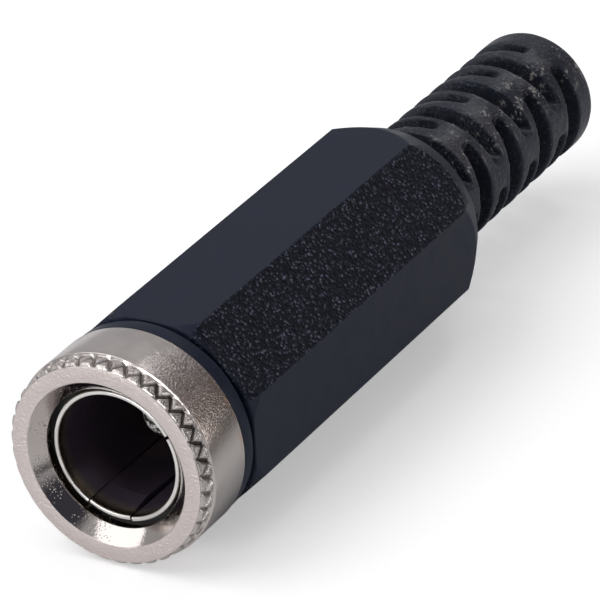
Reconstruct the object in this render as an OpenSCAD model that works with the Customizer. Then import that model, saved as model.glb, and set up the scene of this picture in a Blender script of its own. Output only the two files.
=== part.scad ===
// Inline socket connector for a barrel plug.
// A turned metal shell screws into a moulded cover with an eight-sided grip
// and a slotted strain relief. An insulator in the shell holds a rolled
// sleeve contact, a split centre pin and an earth tag with a cable clamp.
// The connector lies with its axis along X, its mouth towards -X, and is
// centred over the origin at its lowest point.
// Turns about the axis are measured from the top towards the -Y side.

/* [Shell] */
// Outer diameter of the flat ring on the mating face
face_d = 9.1; // [8.9:0.05:9.25]
// Diameter of the mouth's countersink at the mating face
mouth_d = 7.64; // [7.2:0.02:8.2]
// Depth of the countersink
mouth_depth = 0.63; // [0.3:0.01:0.8]
// Diameter of the hole through the front lip
lip_d = 6.5; // [6.4:0.02:6.7]
// Depth of the back of the front lip behind the mating face
lip_depth = 1.3; // [1.1:0.05:1.6]
// Diameter over the knurl
knurl_d = 9.4; // [9.3:0.02:9.45]
// Length of the knurled band
knurl_l = 0.64; // [0.5:0.02:0.9]
// Number of grooves round the knurl in each direction
knurl_count = 39; // [30:1:45]
// Depth of the knurl's grooves
knurl_cut = 0.16; // [0.1:0.01:0.2]
// Slant of the knurl's grooves
knurl_slant = 42; // [30:1:46]
// Diameter of the smooth part of the head
head_d = 9.64; // [9.56:0.02:9.76]
// Length of the head
head_l = 3.3; // [2.6:0.1:4.5]
// Outer diameter of the neck that screws into the cover
neck_d = 7.9; // [7.6:0.05:8]
// Length of the neck behind the head
neck_l = 7.2; // [6.5:0.1:9]
// Diameter of the shell's bore round the insulator
seat_d = 6.9; // [6.8:0.02:7]
// Length of the edge that is rolled in behind the insulator
crimp_l = 0.3; // [0.2:0.05:0.5]
// Inner diameter of the rolled edge
crimp_d = 6.4; // [6.35:0.01:6.6]

/* [Cover] */
// Diameter of the round collar behind the shell's head
collar_d = 9.52; // [9.4:0.02:9.56]
// Length of the collar
collar_l = 0.78; // [0.5:0.02:1.2]
// Diameter of the groove between the collar and the grip
groove_d = 8.6; // [8.5:0.02:9.2]
// Width of the groove's floor
groove_w = 0.2; // [0.1:0.02:0.4]
// Distance across the grip's flats
flats = 9.44; // [9.3:0.02:9.5]
// Diameter of the cone that trims the grip's corners, at the groove
nose_d = 9.7; // [9.5:0.02:9.9]
// Length of the trimmed part of the corners
nose_l = 0.63; // [0.4:0.01:1]
// Length of the cover without the strain relief
body_l = 22.1; // [21:0.1:30]
// Length of the bevel at the grip's rear, measured on a flat
tail_bevel_l = 1.1; // [0.5:0.02:1.5]
// Drop of the bevel at the grip's rear, measured on a flat
tail_bevel_drop = 0.5; // [0.3:0.02:0.8]
// Diameter of the hollow behind the thread
hollow_d = 7.5; // [7.1:0.05:7.8]
// Length of the cone between the hollow and the cable hole
throat_l = 2.5; // [1.5:0.1:3]
// Thickness of the wall where the cable hole starts
throat_wall = 0.3; // [0.1:0.05:1]

/* [Strain relief] */
// Length of the strain relief
boot_l = 14.05; // [13.8:0.05:18]
// Diameter of the strain relief at the grip
boot_root_d = 6.4; // [6.2:0.02:7]
// Diameter of the strain relief at its end
boot_end_d = 6.26; // [6:0.02:6.6]
// Radius of the rounded edge at the end
boot_round = 0.5; // [0.2:0.05:0.7]
// Diameter of the hole for the cable
cable_d = 4.2; // [3.4:0.05:4.6]
// Distance from one slot to the next of its kind
slot_pitch = 3; // [2.9:0.01:3.1]
// Number of slots of each kind
slot_count = 4; // [2:1:4]
// Width of a slot at its floor
slot_floor_w = 0.7; // [0.4:0.02:0.8]
// Slope of a slot's front wall
slot_slope = 12; // [4:1:16]
// Thickness of the web that joins the segments across a slot
web_t = 1.4; // [1:0.05:2]
// Distance from the grip to the rear wall of the first slot
slot_first = 2.02; // [1.9:0.02:2.3]
// Turn of the webs in the first slot and in each second one after it
web_turn_a = 82.5; // [70:0.5:100]
// Turn of the webs in the slots between them
web_turn_b = 25; // [10:0.5:40]

/* [Contacts] */
// Inner diameter of the sleeve contact
sleeve_d = 5.7; // [5.6:0.02:5.76]
// Thickness of the sheet that the sleeve contact is rolled from
sleeve_t = 0.2; // [0.18:0.01:0.28]
// Depth of the sleeve contact's rim behind the mating face
sleeve_depth = 0.9; // [0.7:0.05:1.1]
// Width of the gap where the rolled sheet meets
seam_w = 0.14; // [0.1:0.02:0.3]
// Turn of the seam
seam_turn = 60; // [50:5:130]
// Turn of the middle of the spring finger
finger_turn = 190.5; // [180:0.5:200]
// Angle between the slits beside the spring finger
finger_angle = 43; // [30:1:55]
// Length of the spring finger
finger_l = 6; // [4:0.1:7]
// Distance that the spring finger stands inwards
finger_in = 0.24; // [0.1:0.02:0.3]
// Width of each slit beside the spring finger
slit_w = 0.08; // [0.06:0.01:0.2]
// Width of the sleeve contact's tail
tail_w = 2.4; // [1.6:0.05:3]
// Diameter of the centre pin
pin_d = 2.1; // [2:0.05:2.5]
// Depth of the centre pin's tip behind the mating face
pin_depth = 4.2; // [3.2:0.1:4.6]
// Radius of the rounding at the centre pin's tip
pin_round = 0.8; // [0.3:0.05:0.95]
// Width of the slot across the centre pin
pin_slot_w = 0.3; // [0.2:0.02:0.5]
// Length of the slot across the centre pin
pin_slot_l = 2.5; // [2:0.1:3]
// Turn of the slot across the centre pin
pin_slot_turn = 116; // [0:1:180]
// Diameter of the solder cup behind the pin
cup_d = 2.4; // [2:0.05:2.6]
// Length of the solder cup
cup_l = 3; // [2.2:0.1:4]
// Inner diameter of the solder cup
cup_bore = 1.6; // [1:0.05:1.7]

/* [Insulator and earth tag] */
// Depth of the front of the insulator's base behind the mating face
base_depth = 9.2; // [8.6:0.1:9.4]
// Length of the insulator's base
base_l = 3.2; // [2.8:0.1:4]
// Diameter of the pin inside the insulator
root_d = 2.7; // [2.6:0.05:3]
// Diameter of the flange on the pin inside the insulator
flange_d = 3.8; // [3.4:0.05:4.4]
// Length of the flange on the pin
flange_l = 0.8; // [0.5:0.05:1.2]
// Thickness of the earth tag's sheet
tag_t = 0.3; // [0.2:0.02:0.4]
// Inner diameter of the earth tag's ring
tag_hole_d = 3.4; // [3:0.05:4]
// Width of the earth tag's arm
arm_w = 2.6; // [2:0.05:3]
// Length of the earth tag's arm from its ring to the cable clamp
arm_l = 6.5; // [4:0.1:7]
// Length of the cable clamp
clamp_l = 3.4; // [2:0.1:4]
// Angle round the cable that the clamp covers
clamp_angle = 200; // [160:5:230]
// Diameter of the hole in the arm for the earth wire
wire_hole_d = 1.1; // [0.8:0.05:1.4]

/* [Fits] */
// Clearance round each piece that slides into another
fit_gap = 0.02; // [0.01:0.01:0.03]
// Clearance round the sleeve contact in the insulator
sleeve_gap = 0.03; // [0.02:0.01:0.05]

/* [Hidden] */
$fn = 72;

// Radii of the shell, which everything inside it follows
face_r = face_d / 2;
mouth_r = mouth_d / 2;
lip_r = lip_d / 2;
knurl_r = knurl_d / 2;
head_r = head_d / 2;
neck_r = neck_d / 2;
seat_r = seat_d / 2;
crimp_r = crimp_d / 2;
edge_break = 0.1;
knurl_start = knurl_r - face_r;
knurl_end = knurl_start + knurl_l;
neck_end = head_l + neck_l;
relief_r = neck_r - 0.2;
relief_w = 0.5;
crimp_start = neck_end - crimp_l;

// Radii and places of the cover
collar_r = collar_d / 2;
groove_r = groove_d / 2;
flat_r = flats / 2;
corner_r = flat_r / cos(22.5);
body_end = head_l + body_l;
groove_start = head_l + collar_l;
grip_start = groove_start + groove_w;
screw_r = neck_r + fit_gap;
screw_end = neck_end + 0.6;
hollow_r = hollow_d / 2;
cable_r = cable_d / 2;
throat_end = body_end + throat_wall;
throat_start = throat_end - throat_l;
total_l = body_end + boot_l;

// Radii of the contacts
sleeve_r = sleeve_d / 2;
sleeve_out_r = sleeve_r + sleeve_t;
liner_r = sleeve_out_r + sleeve_gap;
liner_out_r = seat_r - fit_gap;
pin_r = pin_d / 2;
base_end = base_depth + base_l;
boss_r = sleeve_out_r;
tail_angle = 2 * asin(tail_w / 2 / sleeve_out_r);
tail_gap = sleeve_gap / 2;
ear_l = 0.7;
tag_end = base_end + tag_t;
tail_end = tag_end + sleeve_t;
tag_r = sleeve_r - sleeve_gap;
eps = 0.01;

// Lays a piece that is drawn upwards from its mating face along X
module lay() {
    translate([-total_l / 2, 0, head_r]) rotate([180, -90, 0]) children();
}

// A ring sector that is centred on a turn, with its section in the children
module sector(turn, angle) {
    rotate([0, 0, turn - angle / 2]) rotate_extrude(angle = angle) children();
}

// A rectangle in a section, from radius r0 to r1 and from height z0 to z1
module band(r0, r1, z0, z1) {
    translate([r0, z0]) square([r1 - r0, z1 - z0]);
}

// Grooves that cross at the front edge of the knurled band, in one direction
module knurl_grooves(slant) {
    for (i = [0 : knurl_count - 1])
        rotate([0, 0, i * 360 / knurl_count])
        translate([knurl_r, 0, knurl_start])
        rotate([slant, 0, 0])
        cylinder(h = 4 * knurl_l, r = knurl_cut, center = true, $fn = 4);
}

module shell_blank() {
    rotate_extrude() polygon([
        [lip_r, mouth_depth],
        [mouth_r, 0],
        [face_r, 0],
        [knurl_r, knurl_start],
        [knurl_r, knurl_end],
        [head_r, knurl_end + edge_break],
        [head_r, head_l - edge_break],
        [head_r - edge_break, head_l],
        [relief_r, head_l],
        [relief_r, head_l + relief_w],
        [neck_r, head_l + relief_w + (neck_r - relief_r)],
        [neck_r, neck_end - crimp_l],
        [neck_r - crimp_l, neck_end],
        [crimp_r, neck_end],
        [crimp_r, crimp_start],
        [seat_r, crimp_start],
        [seat_r, lip_depth],
        [lip_r, lip_depth]
    ]);
}

// Turned and plated shell with a knurled rim and a neck for the cover
module shell() {
    color("silver") lay() difference() {
        shell_blank();
        intersection() {
            union() {
                knurl_grooves(knurl_slant);
                knurl_grooves(-knurl_slant);
            }
            rotate_extrude() band(mouth_r, head_r + 1, -1, knurl_end + edge_break);
        }
    }
}

// Part of the pin that the insulator holds, or its hole with a clearance
module pin_root(gap = 0) {
    root_r = root_d / 2 + gap;
    flange_r = flange_d / 2 + gap;
    flange_start = base_depth + (base_l - flange_l) / 2 - gap;
    flange_end = flange_start + flange_l + 2 * gap;
    rotate_extrude() polygon([
        [0, base_depth - gap],
        [root_r, base_depth - gap],
        [root_r, flange_start],
        [flange_r, flange_start],
        [flange_r, flange_end],
        [root_r, flange_end],
        [root_r, base_end + gap],
        [0, base_end + gap]
    ]);
}

// Moulded insulator with a liner round the sleeve contact
module insulator() {
    color([0.09, 0.09, 0.1]) lay() difference() {
        rotate_extrude() polygon([
            [liner_r, lip_depth],
            [liner_out_r, lip_depth],
            [liner_out_r, crimp_start],
            [boss_r, crimp_start],
            [boss_r, base_end],
            [0, base_end],
            [0, base_depth],
            [liner_r, base_depth]
        ]);
        pin_root(fit_gap);
        sector(0, tail_angle + 2)
            band(sleeve_r - tail_gap, sleeve_out_r + tail_gap, base_depth - 1, base_end + 1);
    }
}

// Sheet contact rolled to a sleeve, with a spring finger and a tail
module sleeve_contact() {
    slit_angle = slit_w / sleeve_r * 180 / PI;
    finger_end = sleeve_depth + finger_l;
    bulge_depth = sleeve_depth + finger_l / 4;
    root_in = sleeve_r + 0.02;
    root_out = sleeve_out_r - 0.02;
    color([0.75, 0.73, 0.68]) lay() union() {
        difference() {
            rotate_extrude() polygon([
                [sleeve_r, sleeve_depth],
                [sleeve_out_r, sleeve_depth],
                [sleeve_out_r, tail_end],
                [sleeve_r - ear_l, tail_end],
                [sleeve_r - ear_l, tag_end + fit_gap],
                [sleeve_r, tag_end + fit_gap]
            ]);
            sector(180, 360 - tail_angle)
                band(sleeve_r - ear_l - 1, sleeve_out_r + 1, base_depth, tail_end + 1);
            sector(finger_turn, finger_angle)
                band(sleeve_r - 1, sleeve_out_r + 1, sleeve_depth - 1, finger_end);
            rotate([0, 0, seam_turn])
                translate([0, -seam_w / 2, sleeve_depth - 1])
                cube([sleeve_out_r + 1, seam_w, base_depth - sleeve_depth + 1.1]);
        }
        sector(finger_turn, finger_angle - 2 * slit_angle) polygon([
            [root_in, finger_end],
            [sleeve_r - finger_in, bulge_depth],
            [sleeve_r - finger_in / 5, sleeve_depth],
            [sleeve_out_r - finger_in / 5, sleeve_depth],
            [sleeve_out_r - finger_in, bulge_depth],
            [root_out, finger_end],
            [root_out, finger_end + 0.3],
            [root_in, finger_end + 0.3]
        ]);
    }
}

// Turned centre pin, split at its tip, with a solder cup at its rear
module centre_pin() {
    cup_end = base_end + cup_l;
    tip_r = pin_r - pin_round;
    color([0.72, 0.66, 0.52]) lay() difference() {
        union() {
            rotate_extrude() polygon([
                [0, pin_depth],
                [tip_r, pin_depth],
                for (a = [15 : 15 : 90])
                    [tip_r + pin_round * sin(a), pin_depth + pin_round * (1 - cos(a))],
                [pin_r, base_depth + eps],
                [0, base_depth + eps]
            ]);
            pin_root();
            translate([0, 0, base_end - eps]) cylinder(h = cup_l + eps, d = cup_d);
        }
        rotate([0, 0, pin_slot_turn])
            translate([-pin_d, -pin_slot_w / 2, pin_depth - 1])
            cube([2 * pin_d, pin_slot_w, pin_slot_l + 1]);
        translate([0, 0, cup_end - 0.75 * cup_l]) cylinder(h = cup_l, d = cup_bore);
        translate([0.25 * cup_d, -cup_d, cup_end - 0.5 * cup_l]) cube([cup_d, 2 * cup_d, cup_l]);
    }
}

// Stamped earth tag: a ring behind the insulator, an arm and a cable clamp
module earth_tag() {
    arm_out = tag_r;
    arm_in = tag_r - tag_t;
    clamp_start = base_end + arm_l;
    color([0.78, 0.76, 0.7]) lay() difference() {
        union() {
            rotate_extrude() band(tag_hole_d / 2, tag_r, base_end, tag_end);
            translate([-arm_out, -arm_w / 2, base_end]) cube([tag_t, arm_w, arm_l + eps]);
            sector(180, clamp_angle) band(arm_in, arm_out, clamp_start, clamp_start + clamp_l);
        }
        translate([-arm_out - 1, 0, base_end + 0.4 * arm_l])
            rotate([0, 90, 0]) cylinder(h = 2 + tag_t, d = wire_hole_d);
    }
}

// Outline that rounds off the eight-sided grip at both ends
module grip_envelope() {
    reach = corner_r + 0.2;
    nose_slope = nose_l / (corner_r - nose_d / 2);
    tail_slope = tail_bevel_l / tail_bevel_drop;
    bevel_r = flat_r - tail_bevel_drop;
    rotate_extrude() polygon([
        [0, grip_start],
        [nose_d / 2, grip_start],
        [reach, grip_start + (reach - nose_d / 2) * nose_slope],
        [reach, body_end - (reach - bevel_r) * tail_slope],
        [bevel_r, body_end],
        [0, body_end]
    ]);
}

// Outer form of the strain relief, with a rounded end
module boot_blank() {
    root_r = boot_root_d / 2;
    end_r = boot_end_d / 2;
    rotate_extrude() polygon([
        [0, body_end - 1],
        [root_r, body_end - 1],
        [root_r, body_end],
        for (a = [0 : 15 : 90])
            [end_r - boot_round * (1 - cos(a)), total_l - boot_round * (1 - sin(a))],
        [0, total_l]
    ]);
}

// One slot across the strain relief, cut from both sides down to a web
module boot_slot(rear_wall, web_turn) {
    reach = boot_root_d / 2 + 1;
    floor_x = web_t / 2;
    mouth_w = slot_floor_w + (reach - floor_x) * tan(slot_slope);
    for (side = [90, 270])
        rotate([0, 0, web_turn + side])
        rotate([90, 0, 0])
        linear_extrude(height = 2 * reach, center = true)
        polygon([
            [floor_x, rear_wall - slot_floor_w],
            [floor_x, rear_wall],
            [reach, rear_wall],
            [reach, rear_wall - mouth_w]
        ]);
}

module boot_slots() {
    for (i = [0 : slot_count - 1]) {
        first = body_end + slot_first + i * slot_pitch;
        boot_slot(first, web_turn_a);
        boot_slot(first + slot_pitch / 2, web_turn_b);
    }
}

// Space inside the cover for the neck, the contacts and the cable
module cover_hollow() {
    rotate_extrude() polygon([
        [0, head_l - 1],
        [screw_r, head_l - 1],
        [screw_r, screw_end],
        [hollow_r, screw_end],
        [hollow_r, throat_start],
        [cable_r, throat_end],
        [cable_r, total_l - 0.2],
        [cable_r + 0.2, total_l],
        [cable_r + 0.2, total_l + 1],
        [0, total_l + 1]
    ]);
}

// Moulded cover: collar, eight-sided grip and strain relief in one piece
module cover() {
    color([0.13, 0.14, 0.17]) lay() difference() {
        union() {
            rotate_extrude() polygon([
                [0, head_l],
                [collar_r - edge_break, head_l],
                [collar_r, head_l + edge_break],
                [collar_r, groove_start],
                [groove_r, groove_start],
                [groove_r, grip_start + eps],
                [0, grip_start + eps]
            ]);
            intersection() {
                translate([0, 0, grip_start]) rotate([0, 0, 22.5])
                    cylinder(h = body_end - grip_start, r = corner_r, $fn = 8);
                grip_envelope();
            }
            boot_blank();
        }
        cover_hollow();
        boot_slots();
    }
}

shell();
insulator();
sleeve_contact();
centre_pin();
earth_tag();
cover();
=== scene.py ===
# %% [markdown]
# The connector's solids come first. They are the fixed frame that every later
# piece is fitted to, and their box is kept to compare sizes at the end.
# Depths run back from the mouth, and turns go round the axis from the top
# towards the side that the camera sees, as a maker measures on a lathe.

import math

import bmesh
import bpy
from mathutils import Matrix, Vector


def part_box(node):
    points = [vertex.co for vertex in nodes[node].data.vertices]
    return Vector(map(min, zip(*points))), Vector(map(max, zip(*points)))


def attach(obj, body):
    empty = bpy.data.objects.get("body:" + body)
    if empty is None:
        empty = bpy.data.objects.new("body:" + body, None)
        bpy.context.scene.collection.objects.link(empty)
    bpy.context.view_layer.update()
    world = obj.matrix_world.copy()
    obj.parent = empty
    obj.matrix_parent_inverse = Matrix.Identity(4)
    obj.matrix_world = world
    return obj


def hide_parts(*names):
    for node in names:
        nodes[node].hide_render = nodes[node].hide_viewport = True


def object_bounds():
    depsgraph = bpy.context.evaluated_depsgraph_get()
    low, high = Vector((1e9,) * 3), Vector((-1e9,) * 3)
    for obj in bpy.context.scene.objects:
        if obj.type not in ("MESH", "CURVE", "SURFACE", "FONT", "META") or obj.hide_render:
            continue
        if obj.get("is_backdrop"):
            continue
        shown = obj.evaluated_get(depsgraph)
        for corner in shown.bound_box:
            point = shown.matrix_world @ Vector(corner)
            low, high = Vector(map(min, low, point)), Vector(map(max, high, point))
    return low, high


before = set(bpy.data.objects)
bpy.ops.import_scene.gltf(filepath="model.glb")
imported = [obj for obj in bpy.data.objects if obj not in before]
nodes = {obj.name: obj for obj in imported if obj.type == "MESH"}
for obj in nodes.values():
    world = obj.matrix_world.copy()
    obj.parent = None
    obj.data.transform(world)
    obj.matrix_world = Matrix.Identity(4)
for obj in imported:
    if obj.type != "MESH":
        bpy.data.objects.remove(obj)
cad_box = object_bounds()
MM = 0.001
SHELL_LOW, SHELL_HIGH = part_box("shell")
MOUTH = SHELL_LOW[0]
AXIS_HEIGHT = (SHELL_LOW[2] + SHELL_HIGH[2]) / 2
LENGTH = (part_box("cover")[1][0] - MOUTH) / MM
HAIR = 0.002  # the turned head stays this far inside the solid's box
HEAD_R = (SHELL_HIGH[1] - SHELL_LOW[1]) / 2 / MM - HAIR
print("solids:", sorted(nodes))
print("length in mm:", round(LENGTH, 2), "head radius:", round(HEAD_R, 3))

# %% [markdown]
# The camera looks down on the mouth from the left, through a long lens, so
# that the connector hardly tapers. Its place was found by fitting the circles
# of the mouth and the edges of the grip.


# %% Camera
SENSOR_W, LENS = 36, 300
NEAREST, FARTHEST = 0.01, 20
CAMERA_AT = (-0.170849, -0.099745, 0.107052)
# The columns are the camera's right, its up and the way back from the part.
CAMERA_TURN = (
    (0.48859, 0.42702, -0.76088),
    (-0.87116, 0.19008, -0.45272),
    (-0.04870, 0.88404, 0.46487),
)


def add_camera():
    data = bpy.data.cameras.new("camera")
    data.sensor_width = SENSOR_W
    data.lens = LENS
    data.clip_start = NEAREST
    data.clip_end = FARTHEST
    camera = bpy.data.objects.new("camera", data)
    camera.matrix_world = Matrix.Translation(CAMERA_AT) @ Matrix(CAMERA_TURN).to_4x4()
    bpy.context.collection.objects.link(camera)
    bpy.context.scene.camera = camera
    return camera


camera = add_camera()
bpy.context.scene.view_settings.view_transform = "Standard"
print("camera distance in mm:", round(camera.location.length / MM))

# %% [markdown]
# Node trees are easier to read when one line adds one node. These helpers add
# a node with its settings, and a sum whose terms are sockets or numbers.
# Geometry and shader trees share the same Math node, so both use them. The
# geometry trees all begin with named inputs, and all end by making their
# instances real and naming a material.


# %% Helpers for node trees
def plug(tree, value, socket):
    if isinstance(value, bpy.types.NodeSocket):
        tree.links.new(value, socket)
    else:
        socket.default_value = value


def add_node(tree, kind, settings=None, **inputs):
    node = tree.nodes.new(kind)
    for name, value in (settings or {}).items():
        setattr(node, name, value)
    for name, value in inputs.items():
        plug(tree, value, node.inputs[name.replace("_", " ")])
    return node


def calc(tree, operation, *terms):
    node = tree.nodes.new("ShaderNodeMath")
    node.operation = operation
    for term, socket in zip(terms, node.inputs):
        plug(tree, term, socket)
    return node.outputs[0]


def add_socket(tree, name, direction, kind="NodeSocketFloat", value=None):
    socket = tree.interface.new_socket(name=name, in_out=direction, socket_type=kind)
    if value is not None:
        socket.default_value = value
    return socket


def radius_of(tree, side, rise):
    squares = [calc(tree, "POWER", term, 2.0) for term in (side, rise)]
    return calc(tree, "SQRT", calc(tree, "ADD", *squares))


def geometry_tree(name, inputs):
    tree = bpy.data.node_groups.new(name, "GeometryNodeTree")
    add_socket(tree, "Geometry", "INPUT", "NodeSocketGeometry")
    for label, kind, value in inputs:
        add_socket(tree, label, "INPUT", kind, value)
    add_socket(tree, "Material", "INPUT", "NodeSocketMaterial")
    add_socket(tree, "Geometry", "OUTPUT", "NodeSocketGeometry")
    return tree, tree.nodes.new("NodeGroupInput").outputs


def end_tree(tree, geometry, material):
    whole = add_node(tree, "GeometryNodeRealizeInstances", Geometry=geometry)
    done = add_node(
        tree, "GeometryNodeSetMaterial", Geometry=whole.outputs[0], Material=material
    )
    tree.links.new(done.outputs[0], tree.nodes.new("NodeGroupOutput").inputs[0])


def run_tree(piece, tree, values):
    """Gives the piece the tree as a modifier, its inputs set by their names."""
    modifier = piece.modifiers.new(tree.name, "NODES")
    modifier.node_group = tree
    for item in tree.interface.items_tree:
        if item.in_out == "INPUT" and item.name in values:
            modifier[item.identifier] = values[item.name]


print("node helpers ready")

# %% [markdown]
# Everything here is turned or moulded round one axis, so most pieces are a
# closed section swept round it. A real edge is never sharp: it is broken by
# the tool or by the plating, and that thin round catches the light. Each
# corner of a section therefore carries its own small radius.


# %% Sections and sweeps
SHARP_ANGLE = 38  # faces that meet at a larger angle keep a crisp edge
MOST_OF_SIDE = 0.45  # a rounding may take this share of the side next to it


def rounded_section(corners, steps=4):
    """Corners are (depth, radius, edge radius); returns (depth, radius) points."""
    points = []
    for i, (depth, radius, fillet) in enumerate(corners):
        here = Vector((depth, radius))
        if fillet <= 0:
            points.append(tuple(here))
            continue
        before = Vector(corners[i - 1][:2]) - here
        after = Vector(corners[(i + 1) % len(corners)][:2]) - here
        half = before.angle(after) / 2
        reach = min(fillet / math.tan(half), MOST_OF_SIDE * min(before.length, after.length))
        fillet = reach * math.tan(half)
        middle = (before.normalized() + after.normalized()).normalized()
        centre = here + middle * fillet / math.sin(half)
        start = here + before.normalized() * reach - centre
        end = here + after.normalized() * reach - centre
        swing = start.angle_signed(end)
        for k in range(steps + 1):
            points.append(tuple(centre + Matrix.Rotation(-swing * k / steps, 2) @ start))
    return points


def finer(points, depth_to, radius_from, step):
    """Splits the sides of a section that lie near the rim."""
    out = []
    for i, (depth, radius) in enumerate(points):
        out.append((depth, radius))
        depth_2, radius_2 = points[(i + 1) % len(points)]
        if max(depth, depth_2) > depth_to or min(radius, radius_2) < radius_from:
            continue
        parts = math.ceil(math.hypot(depth_2 - depth, radius_2 - radius) / step)
        for k in range(1, parts):
            t = k / parts
            out.append((depth + (depth_2 - depth) * t, radius + (radius_2 - radius) * t))
    return out


def place(depth, radius, turn):
    """A point in the frame from a depth and a radius in mm and a turn in degrees."""
    angle = math.radians(turn)
    return (
        MOUTH + depth * MM,
        -radius * MM * math.sin(angle),
        AXIS_HEIGHT + radius * MM * math.cos(angle),
    )


def mesh_object(name, points, faces):
    mesh = bpy.data.meshes.new(name)
    mesh.from_pydata(points, [], faces)
    sheet = bmesh.new()
    sheet.from_mesh(mesh)
    bmesh.ops.recalc_face_normals(sheet, faces=sheet.faces)
    sheet.to_mesh(mesh)
    sheet.free()
    mesh.shade_smooth()
    mesh.set_sharp_from_angle(angle=math.radians(SHARP_ANGLE))
    made = bpy.data.objects.new(name, mesh)
    bpy.context.collection.objects.link(made)
    return made


def tube_faces(rows, columns, whole=True):
    """Joins each row of points to the next, and the last one to the first."""
    faces = []
    for r in range(rows):
        r_2 = (r + 1) % rows
        for c in range(columns if whole else columns - 1):
            c_2 = (c + 1) % columns
            corners = ((r, c), (r, c_2), (r_2, c_2), (r_2, c))
            faces.append([row * columns + column for row, column in corners])
    return faces


def sweep(name, rows, turns, whole=True):
    """Joins rows of radii, one row for each section point, into a closed piece."""
    columns = len(turns)
    points = [place(depth, radii[c], turns[c]) for depth, radii in rows for c in range(columns)]
    faces = tube_faces(len(rows), columns, whole)
    if not whole:
        for end in (0, columns - 1):
            faces.append([r * columns + end for r in range(len(rows))])
    return mesh_object(name, points, faces)


def round_rows(section, columns):
    return [(depth, [radius] * columns) for depth, radius in section]


def even_turns(count, start=0.0, angle=360.0):
    gaps = count if angle >= 360 else count - 1
    return [start + angle * c / gaps for c in range(count)]


def spread(start, end, count):
    return [start + (end - start) * k / count for k in range(count + 1)]


def baked(piece, name):
    """The piece with its modifiers applied, as a plain mesh."""
    mesh = bpy.data.meshes.new_from_object(
        piece.evaluated_get(bpy.context.evaluated_depsgraph_get())
    )
    mesh.name = name
    bpy.data.objects.remove(piece)
    done = bpy.data.objects.new(name, mesh)
    bpy.context.collection.objects.link(done)
    print(name, "triangles:", sum(len(p.vertices) - 2 for p in mesh.polygons))
    return done


print("sections and sweeps ready")

# %% [markdown]
# The metal shell is turned from brass bar. The section is swept in enough
# columns that the knurl can be pressed into it afterwards. Its mouth has a
# countersink that guides the plug, and the head ends in a broken edge.

# %% Shell
LIP_R, LIP_START, LIP_END = 3.25, 0.63, 1.3
SINK_R, FACE_R, KNURL_R = 3.82, 4.55, 4.7
KNURL_START = KNURL_R - FACE_R
KNURL_END = KNURL_START + 0.64
HEAD_END, NECK_R, NECK_END, SEAT_R, CRIMP_R = 3.3, 3.95, 10.5, 3.45, 3.2
KNURL_GROOVES, KNURL_SLANT, KNURL_TURN, KNURL_DEPTH = 37, 32, 6, 0.16
KNURL_SOFTNESS = 0.04
COLUMNS_A_GROOVE, FINE_STEP = 16, 0.03
EDGE = 0.03
RELIEF = 0.2  # the neck's relief behind the head, as a smaller radius
JUST_PAST = 0.001
shell_section = rounded_section(
    [
        (LIP_END, LIP_R, 0.05),
        (LIP_START, LIP_R, 0.05),
        (0, SINK_R, 0.07),
        (0, FACE_R, EDGE),
        (KNURL_START, KNURL_R, EDGE),
        (KNURL_END, KNURL_R, 0),
        (KNURL_END + 0.06, HEAD_R, 0.04),
        (HEAD_END, HEAD_R, 0.08),
        (HEAD_END, NECK_R - RELIEF, 0),
        (HEAD_END + 0.5, NECK_R - RELIEF, 0),
        (HEAD_END + 0.7, NECK_R, 0),
        (NECK_END, NECK_R, 0.2),
        (NECK_END, CRIMP_R, 0),
        (NECK_END - 0.3, CRIMP_R, 0),
        (NECK_END - 0.3, SEAT_R, 0),
        (LIP_END, SEAT_R, 0),
    ]
)
shell_turns = even_turns(KNURL_GROOVES * COLUMNS_A_GROOVE)
shell_section = finer(shell_section, KNURL_END + JUST_PAST, FACE_R - 0.04, FINE_STEP)
shell_blank = sweep("shell_blank", round_rows(shell_section, len(shell_turns)), shell_turns)
print("shell section points:", len(shell_section))

# %% [markdown]
# The knurl is a pattern that repeats round the rim, so Geometry Nodes press
# it in. Two sets of slanted grooves cross at the front edge. The tree finds
# each point's distance to the nearest groove and lowers its radius to the
# groove's floor. What stays between the grooves is a row of small lumps, with
# their edges softened by the plating.


# %% Knurl tree
KNURL_INPUTS = {
    "Mouth": 0.0,
    "Axis Height": 0.0,
    "Knurl Radius": 0.005,
    "Grooves": 36.0,
    "Slant": 0.5,
    "Groove Depth": 0.0001,
    "Groove Turn": 0.0,
    "Front": 0.0,
    "Back": 0.001,
    "Softness": 0.00001,
}
OUTER_SHARE = 0.9  # only points outside this share of the radius are pressed


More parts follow.
